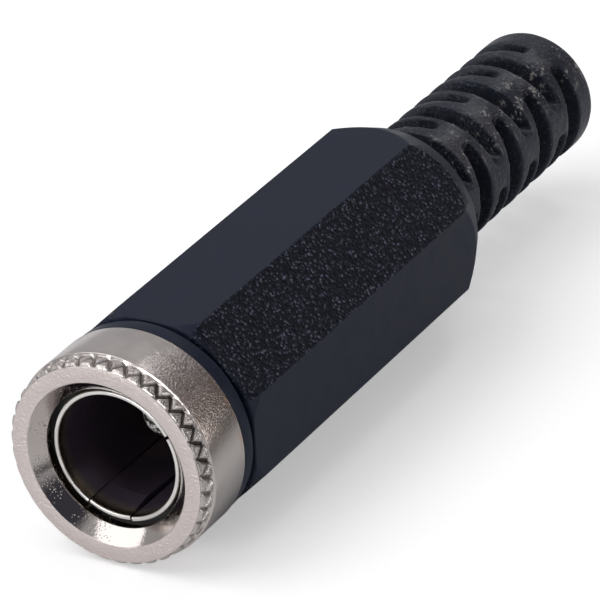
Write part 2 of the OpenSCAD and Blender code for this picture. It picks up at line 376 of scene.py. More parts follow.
def knurl_tree():
    inputs = [(name, "NodeSocketFloat", value) for name, value in KNURL_INPUTS.items()]
    tree, given = geometry_tree("pressed_knurl", inputs)
    here = tree.nodes.new("GeometryNodeInputPosition").outputs[0]
    spot = add_node(tree, "ShaderNodeSeparateXYZ", Vector=here).outputs
    depth = calc(tree, "SUBTRACT", spot["X"], given["Mouth"])
    side = calc(tree, "MULTIPLY", spot["Y"], -1.0)
    rise = calc(tree, "SUBTRACT", spot["Z"], given["Axis Height"])
    radius = radius_of(tree, side, rise)
    turn = calc(tree, "SUBTRACT", calc(tree, "ARCTAN2", side, rise), given["Groove Turn"])
    around = calc(tree, "DIVIDE", calc(tree, "MULTIPLY", turn, given["Grooves"]), math.tau)
    rim = calc(tree, "MULTIPLY", given["Knurl Radius"], math.tau)
    pitch = calc(tree, "DIVIDE", rim, given["Grooves"])
    behind = calc(tree, "SUBTRACT", depth, given["Front"])
    slanted = calc(tree, "MULTIPLY", behind, calc(tree, "TANGENT", given["Slant"]))
    drift = calc(tree, "DIVIDE", slanted, pitch)
    width = calc(tree, "MULTIPLY", pitch, calc(tree, "COSINE", given["Slant"]))
    gaps = []
    for operation in ("ADD", "SUBTRACT"):
        lane = calc(tree, operation, around, drift)
        away = calc(tree, "ABSOLUTE", calc(tree, "SUBTRACT", lane, calc(tree, "ROUND", lane)))
        gaps.append(calc(tree, "MULTIPLY", away, width))
    bottom = calc(tree, "SUBTRACT", given["Knurl Radius"], given["Groove Depth"])
    floor = calc(tree, "ADD", bottom, calc(tree, "MINIMUM", *gaps))
    pressed = calc(tree, "SMOOTH_MIN", radius, floor, given["Softness"])
    scale = calc(tree, "DIVIDE", pressed, radius)
    moved = add_node(
        tree,
        "ShaderNodeCombineXYZ",
        X=spot["X"],
        Y=calc(tree, "MULTIPLY", spot["Y"], scale),
        Z=calc(tree, "ADD", given["Axis Height"], calc(tree, "MULTIPLY", rise, scale)),
    )
    in_band = calc(tree, "LESS_THAN", depth, given["Back"])
    least = calc(tree, "MULTIPLY", given["Knurl Radius"], OUTER_SHARE)
    press = add_node(
        tree,
        "GeometryNodeSetPosition",
        Geometry=given["Geometry"],
        Selection=calc(tree, "MULTIPLY", in_band, calc(tree, "GREATER_THAN", radius, least)),
        Position=moved.outputs[0],
    )
    end_tree(tree, press.outputs[0], given["Material"])
    return tree


KNURL = knurl_tree()
print("knurl tree nodes:", len(KNURL.nodes))

# %% [markdown]
# A finish is easier to describe on the part than on a flat image, so one
# shared node group turns Object coordinates into the depth behind the mouth,
# the radius and the turn, in mm and degrees. Masks are then drawn where a
# maker would point: the flat ring, the countersink, one flat of the grip.


# %% Shared node groups
def shader_group(name, inputs, outputs):
    tree = bpy.data.node_groups.new(name, "ShaderNodeTree")
    for label, kind, value in inputs:
        add_socket(tree, label, "INPUT", kind, value)
    for label in outputs:
        add_socket(tree, label, "OUTPUT")
    given = tree.nodes.new("NodeGroupInput").outputs
    return tree, given, tree.nodes.new("NodeGroupOutput").inputs


def axis_group():
    tree, given, result = shader_group(
        "along_and_round_the_axis",
        [
            ("Vector", "NodeSocketVector", None),
            ("Mouth", "NodeSocketFloat", 0.0),
            ("Axis Height", "NodeSocketFloat", 0.0),
        ],
        ["Depth", "Radius", "Turn"],
    )
    spot = add_node(tree, "ShaderNodeSeparateXYZ", Vector=given["Vector"]).outputs
    depth = calc(tree, "DIVIDE", calc(tree, "SUBTRACT", spot["X"], given["Mouth"]), MM)
    side = calc(tree, "DIVIDE", spot["Y"], -MM)
    rise = calc(tree, "DIVIDE", calc(tree, "SUBTRACT", spot["Z"], given["Axis Height"]), MM)
    turn = calc(tree, "DEGREES", calc(tree, "ARCTAN2", side, rise))
    radius = radius_of(tree, side, rise)
    for label, value in (("Depth", depth), ("Radius", radius), ("Turn", turn)):
        tree.links.new(value, result[label])
    return tree


def grain_group():
    """Fine grain, pits and slow clouds, at sizes in mm."""
    tree, given, result = shader_group(
        "grain_and_clouds",
        [
            ("Vector", "NodeSocketVector", None),
            ("Grain Size", "NodeSocketFloat", 0.1),
            ("Cloud Size", "NodeSocketFloat", 1.5),
            ("Seed", "NodeSocketFloat", 0.0),
        ],
        ["Grain", "Pits", "Clouds"],
    )
    fine = calc(tree, "DIVIDE", 1 / MM, given["Grain Size"])
    slow = calc(tree, "DIVIDE", 1 / MM, given["Cloud Size"])
    kinds = (("Grain", fine, 3.0, 0.6), ("Clouds", slow, 4.0, 0.55))
    for label, scale, detail, roughness in kinds:
        noise = add_node(
            tree,
            "ShaderNodeTexNoise",
            {"noise_dimensions": "4D"},
            Vector=given["Vector"],
            W=given["Seed"],
            Scale=scale,
            Detail=detail,
            Roughness=roughness,
        )
        tree.links.new(noise.outputs[0], result[label])
    pits = add_node(tree, "ShaderNodeTexVoronoi", Vector=given["Vector"], Scale=fine)
    tree.links.new(pits.outputs["Distance"], result["Pits"])
    return tree


AXIS_GROUP = axis_group()
GRAIN_GROUP = grain_group()
print("shared groups:", AXIS_GROUP.name, "and", GRAIN_GROUP.name)

# %% [markdown]
# A finish is built from masks between 0 and 1. A ramp turns a measure into a
# mask, a product of masks is where all of them hold, and a blend shows one
# value where the mask is 0 and another where it is 1.


# %% Helpers for finishes
def new_finish(name, color, roughness, metallic=0.0):
    material = bpy.data.materials.new(name)
    material.use_nodes = True
    tree = material.node_tree
    shader = tree.nodes["Principled BSDF"]
    shader.inputs["Base Color"].default_value = (*color, 1)
    shader.inputs["Roughness"].default_value = roughness
    shader.inputs["Metallic"].default_value = metallic
    coords = tree.nodes.new("ShaderNodeTexCoord").outputs["Object"]
    return material, tree, shader, coords


def use_axis(tree, coords):
    node = add_node(tree, "ShaderNodeGroup", {"node_tree": AXIS_GROUP})
    plug(tree, coords, node.inputs["Vector"])
    node.inputs["Mouth"].default_value = MOUTH
    node.inputs["Axis Height"].default_value = AXIS_HEIGHT
    return node.outputs


def use_grain(tree, coords, grain_size, cloud_size, seed):
    node = add_node(tree, "ShaderNodeGroup", {"node_tree": GRAIN_GROUP})
    plug(tree, coords, node.inputs["Vector"])
    node.inputs["Grain Size"].default_value = grain_size
    node.inputs["Cloud Size"].default_value = cloud_size
    node.inputs["Seed"].default_value = seed
    return node.outputs


def ramp(tree, value, low, high, to_low=0.0, to_high=1.0):
    node = add_node(
        tree,
        "ShaderNodeMapRange",
        {"interpolation_type": "SMOOTHSTEP"},
        Value=value,
        From_Min=low,
        From_Max=high,
        To_Min=to_low,
        To_Max=to_high,
    )
    return node.outputs[0]


def between(tree, value, low, high, soft):
    rising = ramp(tree, value, low - soft, low + soft)
    falling = ramp(tree, value, high - soft, high + soft, 1.0, 0.0)
    return calc(tree, "MULTIPLY", rising, falling)


def both(tree, *masks):
    """The product of masks or values."""
    product = masks[0]
    for mask in masks[1:]:
        product = calc(tree, "MULTIPLY", product, mask)
    return product


def blend_colors(tree, factor, first, second):
    node = add_node(tree, "ShaderNodeMix", {"data_type": "RGBA"})
    plug(tree, factor, node.inputs[0])
    for value, socket in ((first, node.inputs[6]), (second, node.inputs[7])):
        plug(tree, value if isinstance(value, bpy.types.NodeSocket) else (*value, 1), socket)
    return node.outputs[2]


def blend_values(tree, factor, first, second):
    node = tree.nodes.new("ShaderNodeMix")
    for value, index in ((factor, 0), (first, 2), (second, 3)):
        plug(tree, value, node.inputs[index])
    return node.outputs[0]


def bump(tree, shader, height, distance):
    node = add_node(tree, "ShaderNodeBump", Strength=1.0, Distance=distance, Height=height)
    tree.links.new(node.outputs[0], shader.inputs["Normal"])


print("finish helpers ready")

# %% [markdown]
# Nickel plate takes its look from what lies under it. The flat ring was faced
# with a wide tool and is satin, the countersink was burnished by its tool and
# is nearly a mirror with a few specks, and one side of the head is pitted by
# handling, so that it glitters. Next to that a brownish band is painted in, a
# painted reflection of the room's dark patch, with a thin warm stain at the
# head's back edge, and the grooves of the knurl are darker, more so on one side.
# All of these are masks over the depth, the radius and the turn.


# %% Nickel plate
PLATE_DARK, PLATE_PALE = (0.54, 0.495, 0.475), (0.61, 0.565, 0.54)
RING_COLOR, SINK_COLOR = (0.66, 0.59, 0.57), (0.5, 0.455, 0.435)
# Painted reflection: the brownish colour on the next line is the band the metal shows where it
# faces the room's dark patch.
BROWN_REFLECTION_COLOR, PIT_COLOR = (0.42, 0.345, 0.3), (0.27, 0.23, 0.215)
# The second colour on the next line darkens the knurl's grooves.
STAIN_COLOR, KNURL_GROOVE_DARK = (0.52, 0.27, 0.13), (0.045, 0.035, 0.032)
PLATE_ROUGH, RING_ROUGH, SINK_ROUGH, PIT_ROUGH = (0.17, 0.24), 0.36, 0.07, 0.20
# Each of these is a range of turns in degrees, and how soft its edges are.
PITTED_TURNS, BROWN_REFLECTION_TURNS = (20.0, 66.0, 10.0), (46.0, 74.0, 9.0)
DARKER_GROOVE_TURNS, STAINED_TURNS = (26.0, 84.0, 8.0), (50.0, 84.0, 9.0)
KNURL_FLOOR = (4.3, 4.35)


def nickel_finish():
    material, tree, shader, coords = new_finish("nickel_plate", (0.62, 0.57, 0.55), 0.25, 1.0)
    axis = use_axis(tree, coords)
    fine = use_grain(tree, coords, 0.11, 1.3, 2.0)
    depth, radius, turn = axis["Depth"], axis["Radius"], axis["Turn"]
    on_ring = both(
        tree,
        ramp(tree, depth, 0.01, 0.03, 1.0, 0.0),
        ramp(tree, radius, SINK_R - 0.01, SINK_R + 0.02),
    )
    in_sink = both(
        tree,
        ramp(tree, radius, SINK_R - 0.02, SINK_R, 1.0, 0.0),
        ramp(tree, depth, 0.015, 0.04),
    )
    clouds = ramp(tree, fine["Clouds"], 0.35, 0.65)
    pitted = both(
        tree,
        ramp(tree, depth, KNURL_END, KNURL_END + 0.15),
        between(tree, turn, *PITTED_TURNS),
        ramp(tree, fine["Clouds"], 0.3, 0.6, 0.45, 1.0),
    )
    in_knurl = both(
        tree,
        ramp(tree, depth, 0.03, 0.08),
        ramp(tree, depth, KNURL_END, KNURL_END + 0.02, 1.0, 0.0),
        ramp(tree, radius, *KNURL_FLOOR),
    )
    blank_radius = calc(tree, "MINIMUM", calc(tree, "ADD", depth, FACE_R), KNURL_R)
    # The knurl's grooves are darker, and darker still over one range of turns.
    groove = both(
        tree,
        in_knurl,
        ramp(tree, calc(tree, "SUBTRACT", blank_radius, radius), 0.05, 0.11),
        calc(tree, "ADD", both(tree, between(tree, turn, *DARKER_GROOVE_TURNS), 0.45), 0.5),
    )
    # Painted reflection: a brownish band painted on the turns that face the room's dark patch.
    painted_brown_reflection = both(
        tree,
        between(tree, turn, *BROWN_REFLECTION_TURNS),
        ramp(tree, fine["Clouds"], 0.3, 0.6, 0.3, 0.9),
        ramp(tree, depth, KNURL_END, KNURL_END + 0.1),
    )
    stain = both(
        tree,
        between(tree, turn, *STAINED_TURNS),
        ramp(tree, depth, 2.75, 3.3),
        ramp(tree, fine["Clouds"], 0.38, 0.6),
        0.55,
    )
    speckle = both(tree, pitted, ramp(tree, fine["Grain"], 0.38, 0.6, 0.95, 0.45))
    tint = blend_colors(tree, clouds, PLATE_DARK, PLATE_PALE)
    for mask, color in (
        (on_ring, RING_COLOR),
        (painted_brown_reflection, BROWN_REFLECTION_COLOR),
        (both(tree, in_sink, 0.8), SINK_COLOR),
        (speckle, PIT_COLOR),
        (stain, STAIN_COLOR),
        (groove, KNURL_GROOVE_DARK),
    ):
        tint = blend_colors(tree, mask, tint, color)
    tree.links.new(tint, shader.inputs["Base Color"])
    rough = blend_values(tree, clouds, *PLATE_ROUGH)
    for mask, value in ((on_ring, RING_ROUGH), (in_sink, SINK_ROUGH), (pitted, PIT_ROUGH)):
        rough = blend_values(tree, mask, rough, value)
    tree.links.new(rough, shader.inputs["Roughness"])
    specks = both(
        tree,
        in_sink,
        ramp(tree, fine["Pits"], 0.08, 0.3, 1.0, 0.0),
        ramp(tree, fine["Clouds"], 0.5, 0.62),
    )
    height = calc(tree, "ADD", both(tree, pitted, fine["Grain"], 0.7), both(tree, specks, 0.5))
    height = calc(tree, "ADD", height, both(tree, in_knurl, fine["Grain"], 0.6))
    satin = blend_values(tree, on_ring, 0.06, 0.45)
    height = calc(tree, "ADD", height, both(tree, fine["Grain"], satin))
    bump(tree, shader, height, 0.08 * MM)
    return material


nickel = nickel_finish()
run_tree(
    shell_blank,
    KNURL,
    {
        "Mouth": MOUTH,
        "Axis Height": AXIS_HEIGHT,
        "Knurl Radius": KNURL_R * MM,
        "Grooves": float(KNURL_GROOVES),
        "Slant": math.radians(KNURL_SLANT),
        "Groove Depth": KNURL_DEPTH * MM,
        "Groove Turn": math.radians(KNURL_TURN),
        "Front": KNURL_START * MM,
        "Back": (KNURL_END + JUST_PAST) * MM,
        "Softness": KNURL_SOFTNESS * MM,
        "Material": nickel,
    },
)
shell_piece = baked(shell_blank, "turned_shell")
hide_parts("shell")
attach(shell_piece, "root")

# %% [markdown]
# The grip is an eight-sided moulding with a round collar. A cone trims its
# corners at the front and a longer one at the back, so the flats end in
# arches. Each row of the mesh asks the same question of every turn: how far
# out is the octagon, and how far out is the cone? The smaller one wins, with
# a small round where they meet, as the mould's cutter leaves it.

# %% Grip
COLLAR_R, COLLAR_END, GROOVE_R, GRIP_START = 4.76, 4.08, 4.3, 4.28
FLAT_R, BODY_END = 4.72, 25.4
FLATS = 8
FLAT_TURN = 360 / FLATS
HALF_FLAT = FLAT_TURN / 2
CORNER_R = FLAT_R / math.cos(math.radians(HALF_FLAT))
NOSE_R, NOSE_L = 4.85, 0.63
BEVEL_L, BEVEL_DROP = 1.1, 0.5
CORNER_ROUND, EDGE_ROUND, ARCH_ROUND = 0.1, 0.07, 0.03
SCREW_R, SCREW_END, HOLLOW_R, CABLE_R, THROAT_START = 3.97, 11.1, 3.75, 2.1, 23.2
BOOT_ROOT_R = 3.2


def octagon_radius(turn):
    """How far out the eight-sided outline is at a turn, with its corners rounded."""
    from_flat = math.radians(abs((turn + HALF_FLAT) % FLAT_TURN - HALF_FLAT))
    half_side = math.radians(HALF_FLAT)
    centre = (FLAT_R - CORNER_ROUND) / math.cos(half_side)
    meet = math.atan(centre * math.sin(half_side) / FLAT_R)
    if from_flat <= meet:
        return FLAT_R / math.cos(from_flat)
    aside = half_side - from_flat
    outwards = math.sqrt(CORNER_ROUND**2 - (centre * math.sin(aside)) ** 2)
    return centre * math.cos(aside) + outwards


def soft_min(first, second, soft):
    """The smaller value, with a small round where the two meet."""
    overlap = max(soft - abs(first - second), 0) / soft
    return min(first, second) - overlap * overlap * soft / 4


def grip_radius(depth, turn):
    nose = NOSE_R + (depth - GRIP_START) * (CORNER_R - NOSE_R) / NOSE_L
    tail = FLAT_R - BEVEL_DROP + (BODY_END - depth) * BEVEL_DROP / BEVEL_L
    radius = soft_min(octagon_radius(turn), min(nose, tail), ARCH_ROUND)
    for gap in (depth - GRIP_START, BODY_END - depth):
        if gap < EDGE_ROUND:
            radius -= EDGE_ROUND - math.sqrt(EDGE_ROUND**2 - (EDGE_ROUND - gap) ** 2)
    return radius


def grip_turns():
    """Even turns over each flat, and closer ones where its corners are rounded."""
    near_corner = (20.8, 21.5, 21.95, 22.1, 22.25, 22.4)
    one = [1.5 * k for k in range(-13, 14)] + [HALF_FLAT]
    one += [side * turn for side in (-1, 1) for turn in near_corner]
    return sorted((FLAT_TURN * flat + turn) % 360 for flat in range(FLATS) for turn in one)


grip_columns = grip_turns()
collar = rounded_section(
    [
        (HEAD_END, SCREW_R, 0),
        (HEAD_END, COLLAR_R, 0.1),
        (COLLAR_END, COLLAR_R, 0.08),
        (COLLAR_END + 0.03, GROOVE_R, 0.05),
        (GRIP_START, GROOVE_R, 0),
    ]
)
edge_steps = [EDGE_ROUND * (1 - math.cos(math.radians(a))) for a in range(0, 91, 15)]
grip_depths = [GRIP_START + step for step in edge_steps]
grip_depths += spread(GRIP_START + EDGE_ROUND + 0.04, GRIP_START + NOSE_L + 0.15, 14)
grip_depths += spread(6, 23, 6) + spread(23.4, BODY_END - EDGE_ROUND - 0.03, 36)
grip_depths += [BODY_END - step for step in reversed(edge_steps)]
inside = [
    (BODY_END, BOOT_ROOT_R - 0.1),
    (BODY_END - 0.3, CABLE_R),
    (THROAT_START, HOLLOW_R),
    (SCREW_END, HOLLOW_R),
    (SCREW_END, SCREW_R),
]
grip_rows = round_rows(collar, len(grip_columns))
for depth in grip_depths:
    grip_rows.append((depth, [grip_radius(depth, turn) for turn in grip_columns]))
grip_rows += round_rows(inside, len(grip_columns))
grip = sweep("moulded_grip", grip_rows, grip_columns)
print("grip faces:", len(grip.data.polygons))

# %% [markdown]
# The grip's mould was spark-eroded on every second flat. Those flats are a
# dense, dark grain that glitters from its bumps, with bright specks painted
# into its colour as painted glints, and the flats between them were polished
# and lift to a smooth blue-black. The grain fades out near the back bevel.
# The pattern repeats with the turn, so one mask from the sine of twice the
# turn finds all four coarse flats.


# %% Black moulding
POLISHED_DARK, POLISHED_PALE = (0.0142, 0.0182, 0.0335), (0.0192, 0.0242, 0.0425)
# The second colour on the next line is a painted glint: bright specks on the coarse flats.
SPARK_GROUND, SPARK_PAINTED_GLINT = (0.0015, 0.0025, 0.0095), (0.17, 0.19, 0.27)
POLISHED_ROUGH, SPARK_ROUGH = (0.36, 0.48), 0.3
COARSE_EDGE = (0.69, 0.74)  # about the sine of 45 degrees, where the flats meet


def moulding_finish():
    material, tree, shader, coords = new_finish("black_moulding", (0.015, 0.0195, 0.034), 0.42)
    shader.inputs["Specular IOR Level"].default_value = 0.12
    axis = use_axis(tree, coords)
    spark = use_grain(tree, coords, 0.17, 2.2, 5.0)
    skin = use_grain(tree, coords, 0.3, 0.9, 9.0)
    twice = calc(tree, "RADIANS", calc(tree, "MULTIPLY", axis["Turn"], 2.0))
    coarse = both(
        tree,
        ramp(tree, calc(tree, "ABSOLUTE", calc(tree, "SINE", twice)), *COARSE_EDGE),
        between(tree, axis["Depth"], GRIP_START + 0.05, BODY_END - 0.9, 0.35),
        ramp(tree, skin["Clouds"], 0.2, 0.5, 0.75, 1.0),
    )
    mottled = ramp(tree, skin["Clouds"], 0.35, 0.68)
    smooth_color = blend_colors(tree, mottled, POLISHED_DARK, POLISHED_PALE)
    peaks = ramp(tree, spark["Pits"], 0.08, 0.5, 1.0, 0.0)
    # Painted glints: bright specks painted into the colour of the coarse flats.
    painted_glint_specks = both(tree, peaks, ramp(tree, spark["Grain"], 0.42, 0.6))
    spark_color = blend_colors(tree, painted_glint_specks, SPARK_GROUND, SPARK_PAINTED_GLINT)
    tint = blend_colors(tree, coarse, smooth_color, spark_color)
    tree.links.new(tint, shader.inputs["Base Color"])
    smooth_rough = blend_values(tree, mottled, *POLISHED_ROUGH)
    rough = blend_values(tree, coarse, smooth_rough, SPARK_ROUGH)
    tree.links.new(rough, shader.inputs["Roughness"])
    sparks = calc(tree, "SUBTRACT", spark["Grain"], both(tree, spark["Pits"], 0.7))
    height = calc(tree, "ADD", both(tree, coarse, sparks), both(tree, skin["Grain"], 0.06))
    bump(tree, shader, height, 0.13 * MM)
    return material


moulding = moulding_finish()
grip.data.materials.append(moulding)
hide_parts("cover")
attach(grip, "root")
print("finish:", moulding.name)

# %% [markdown]
# The strain relief is moulded with slots that are cut from both sides down to
# a web, and every second slot is turned, so the tube bends like a spring. One
# slot is a small wedge-shaped cutter, and Geometry Nodes repeat it along the
# axis. The boolean leaves razor edges that soft plastic never has, so the
# result is remeshed and relaxed until its edges are round. All of this is
# built in mm, because the remesh has a smallest voxel of its own.

# %% Slot cutter and its row
BOOT_START, BOOT_ROUND, BOOT_END_R = BODY_END - 0.2, 0.5, 3.13
SLOT_FLOOR, SLOT_SLOPE, WEB_T = 0.7, 12, 1.4
SLOT_PITCH, SLOT_COUNT, SLOT_FIRST = 3.0, 4, 2.02
WEB_TURN_A, WEB_TURN_B = 82.5, 25.0
CUTTER_BEYOND = 1.0  # the cutter reaches this far out of the boot


def slot_cutter():
    floor, reach = WEB_T / 2, BOOT_ROOT_R + CUTTER_BEYOND
    mouth_w = SLOT_FLOOR + (reach - floor) * math.tan(math.radians(SLOT_SLOPE))
    outline = [(-SLOT_FLOOR, floor), (0, floor), (0, reach), (-mouth_w, reach)]
    points, faces = [], []
    for side in (-1, 1):
        first = len(points)
        points += [(x, side * y, z) for z in (-reach, reach) for x, y in outline]
        faces += [[first + k for k in range(4)], [first + 4 + k for k in range(4)]]
        for k in range(4):
            k_2 = (k + 1) % 4
            faces.append([first + k, first + k_2, first + 4 + k_2, first + 4 + k])
    return mesh_object("slot_cutter", points, faces)


def slot_row_tree():
    tree, given = geometry_tree(
        "row_of_slots",
        [
            ("Cutter", "NodeSocketObject", None),
            ("Count", "NodeSocketInt", 4),
            ("Start", "NodeSocketVector", None),
            ("Step", "NodeSocketVector", None),
            ("Turn", "NodeSocketVector", None),
        ],
    )
    line = add_node(
        tree,
        "GeometryNodeMeshLine",
        Count=given["Count"],
        Start_Location=given["Start"],
        Offset=given["Step"],
    )
    cutter = add_node(tree, "GeometryNodeObjectInfo", Object=given["Cutter"])
    row = add_node(
        tree,
        "GeometryNodeInstanceOnPoints",
        Points=line.outputs[0],
        Instance=cutter.outputs["Geometry"],
        Rotation=given["Turn"],
    )
    end_tree(tree, row.outputs[0], given["Material"])
    return tree


def slot_row(name, cutter, tree, first_depth, web_turn, material):
    holder = bpy.data.objects.new(name, bpy.data.meshes.new(name))
    bpy.context.collection.objects.link(holder)
    run_tree(
        holder,
        tree,
        {
            "Cutter": cutter,
            "Count": SLOT_COUNT,
            "Start": (first_depth, 0, 0),
            "Step": (SLOT_PITCH, 0, 0),
            "Turn": (math.radians(web_turn), 0, 0),
            "Material": material,
        },
    )
    return baked(holder, name)


print("slot cutter ready")

# %% [markdown]
# Soft plastic takes a different skin from the grip. It is finely wrinkled,
# and near the ridge that faces up it is still glossy from the gate, with wet
# looking glints in the slots. Pale specks painted into the colour near that
# ridge are painted glints.


# %% Soft black moulding
SOFT_DARK, SOFT_PALE = (0.009, 0.012, 0.023), (0.014, 0.018, 0.032)
# The second colour on the next line is a painted glint for the ridge.
DUST_COLOR, RIDGE_PAINTED_GLINT = (0.11, 0.12, 0.155), (0.3, 0.29, 0.28)
SOFT_ROUGH, WET_ROUGH = (0.38, 0.48), 0.16
RIDGE_TURNS = (18.0, 62.0, 14.0)


def boot_finish():
    material, tree, shader, coords = new_finish(
        "soft_black_moulding", (0.007, 0.011, 0.023), 0.42
    )
    shader.inputs["Specular IOR Level"].default_value = 0.35
    shader.inputs["Coat Roughness"].default_value = 0.12
    axis = use_axis(tree, coords)
    skin = use_grain(tree, coords, 0.16, 1.1, 14.0)
    folds = use_grain(tree, coords, 0.5, 2.0, 21.0)
    ridge = between(tree, axis["Turn"], *RIDGE_TURNS)
    wet = both(tree, ridge, ramp(tree, folds["Clouds"], 0.42, 0.58))
    inside = ramp(tree, axis["Radius"], 2.75, 3.02, 1.0, 0.0)
    grainy = calc(tree, "MAXIMUM", wet, both(tree, inside, 0.5))
    shade = ramp(tree, folds["Clouds"], 0.35, 0.65)
    tint = blend_colors(tree, shade, SOFT_DARK, SOFT_PALE)
    peaks = ramp(tree, skin["Pits"], 0.05, 0.45, 1.0, 0.0)
    dusty = both(
        tree,
        peaks,
        ramp(tree, skin["Grain"], 0.42, 0.6),
        ramp(tree, skin["Clouds"], 0.4, 0.55, 0.35, 1.0),
    )
    tint = blend_colors(tree, dusty, tint, DUST_COLOR)
    # Painted glints: pale specks painted into the colour along the ridge.
    ridge_painted_glints = both(
        tree,
        ridge,
        ramp(tree, folds["Grain"], 0.54, 0.62),
        ramp(tree, skin["Grain"], 0.46, 0.56),
    )
    tint = blend_colors(tree, ridge_painted_glints, tint, RIDGE_PAINTED_GLINT)
    tree.links.new(tint, shader.inputs["Base Color"])
    rough = blend_values(tree, ramp(tree, skin["Clouds"], 0.35, 0.65), *SOFT_ROUGH)
    tree.links.new(blend_values(tree, wet, rough, WET_ROUGH), shader.inputs["Roughness"])
    tree.links.new(wet, shader.inputs["Coat Weight"])
    height = both(tree, skin["Grain"], blend_values(tree, grainy, 0.35, 1.0))
    height = calc(tree, "ADD", height, both(tree, folds["Grain"], 0.8))
    bump(tree, shader, height, 0.12 * MM)
    return material


soft_moulding = boot_finish()
print("finish:", soft_moulding.name)

# %% [markdown]
# The blank tube and the two rows of cutters now meet. The rows start half a
# pitch apart and are turned against each other, so that their webs alternate.

# %% Strain relief
BLANK_COLUMNS = 128
VOXEL, RELAX_FACTOR, RELAX_ROUNDS = 0.11, 0.5, 4


def boot_blank():
    section = rounded_section(
        [
            (BOOT_START, CABLE_R, 0),
            (BOOT_START, BOOT_ROOT_R, 0),
            (LENGTH, BOOT_END_R, BOOT_ROUND),
            (LENGTH, CABLE_R, 0.15),
        ],
        steps=6,
    )
    turns = [math.radians(turn) for turn in even_turns(BLANK_COLUMNS)]
    points = [
        (depth, -radius * math.sin(turn), radius * math.cos(turn))
        for depth, radius in section
        for turn in turns
    ]
    faces = tube_faces(len(section), BLANK_COLUMNS)
    return mesh_object("boot_blank", points, faces)


def strain_relief():
    blank = boot_blank()
    cutter = slot_cutter()
    tree = slot_row_tree()
    first = BODY_END + SLOT_FIRST
    rows = [
        slot_row("slots_a", cutter, tree, first, WEB_TURN_A, soft_moulding),
        slot_row("slots_b", cutter, tree, first + SLOT_PITCH / 2, WEB_TURN_B, soft_moulding),
    ]
    for row in rows:
        cut = blank.modifiers.new(row.name, "BOOLEAN")
        cut.operation = "DIFFERENCE"
        cut.solver = "EXACT"
        cut.object = row
    skin = blank.modifiers.new("skin", "REMESH")
    skin.mode = "VOXEL"
    skin.voxel_size = VOXEL
    relax = blank.modifiers.new("relax", "SMOOTH")
    relax.factor = RELAX_FACTOR
    relax.iterations = RELAX_ROUNDS
    boot = baked(blank, "slotted_strain_relief")
    for leftover in rows + [cutter]:
        bpy.data.objects.remove(leftover)
    boot.data.transform(Matrix.Translation((MOUTH, 0, AXIS_HEIGHT)) @ Matrix.Scale(MM, 4))
    boot.data.materials.clear()
    boot.data.materials.append(soft_moulding)
    boot.data.shade_smooth()
    return boot


boot = strain_relief()
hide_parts("cover")
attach(boot, "root")

# %% [markdown]
# Inside the mouth sits a sleeve rolled from thin sheet. The cut edge of the
# sheet is burnished, so it shows as one bright line. A half-round bead on the
# rim of the solid gives that line, broken at the seam and beside the finger.

# %% Rim of the sleeve
SLEEVE_R, SLEEVE_T, SLEEVE_DEPTH = 2.85, 0.2, 0.9
SEAM_TURN, SEAM_W, FINGER_TURN, FINGER_ANGLE, FINGER_IN = 60, 0.14, 190.5, 43, 0.048
SLIT_W = 0.08
SLIT_ANGLE = math.degrees(SLIT_W / SLEEVE_R)
SEAM_HALF = math.degrees(SEAM_W / 2 / SLEEVE_R)
BEAD, BEAD_ROOT, BEAD_ROUND, BEAD_INSET = 0.06, 0.04, 0.09, 0.01


def rim_bead(name, start, angle, inwards):
    inner = SLEEVE_R - inwards + BEAD_INSET
    outer = SLEEVE_R + SLEEVE_T - inwards - BEAD_INSET
    section = rounded_section(
        [
            (SLEEVE_DEPTH + BEAD_ROOT, inner, 0),
            (SLEEVE_DEPTH - BEAD, inner, BEAD_ROUND),
            (SLEEVE_DEPTH - BEAD, outer, BEAD_ROUND),
            (SLEEVE_DEPTH + BEAD_ROOT, outer, 0),
        ],
        steps=5,
    )
    turns = even_turns(max(12, round(angle / 2)), start, angle)
    return sweep(name, round_rows(section, len(turns)), turns, whole=False)


finger_start = FINGER_TURN - FINGER_ANGLE / 2
finger_end = FINGER_TURN + FINGER_ANGLE / 2
rims = [
    rim_bead("rim_of_finger", finger_start + SLIT_ANGLE, FINGER_ANGLE - 2 * SLIT_ANGLE, FINGER_IN),
    rim_bead("rim_to_seam", finger_end, 360 + SEAM_TURN - SEAM_HALF - finger_end, 0),
    rim_bead("rim_from_seam", SEAM_TURN + SEAM_HALF, finger_start - SEAM_TURN - SEAM_HALF, 0),
]
print("rim pieces:", len(rims))

# %% [markdown]
# The contacts are plated too. The sheet is warm and bright near its rim, and
# further in it is darker, a dull purple-black that is less metallic. The pin
# is turned and its tip is dented. Its tip is painted near-white as a painted
# highlight, with painted shade in its dents, and is made less metallic so
# that this colour shows. Hidden pieces get the same care, because the part
# may be taken apart in a view.


# %% Finishes of the contacts
# The second colour on the next line is the sheet's colour further in from the rim.
SHEET_COLOR, DEEP_SHEET_COLOR = (0.44, 0.36, 0.27), (0.105, 0.082, 0.115)
TAG_COLOR, CUT_COLOR, PIN_COLOR = (0.62, 0.6, 0.56), (0.86, 0.84, 0.82), (0.52, 0.4, 0.27)
# Painted highlight and painted shade: the pin tip's bright colour and the dark colour of its
# dents.
DENT_PAINTED_SHADE, TIP_PAINTED_HIGHLIGHT = (0.05, 0.04, 0.032), (0.96, 0.94, 0.92)
INSULATOR_DARK, INSULATOR_PALE = (0.009, 0.009, 0.0095), (0.014, 0.014, 0.015)
DEEPER_SHEET_DEPTHS, TIP_DEPTHS, LESS_METALLIC_DEPTHS = (0.95, 1.7), (4.4, 4.6), (4.8, 5.4)
CLOUD_SHADE = 0.82


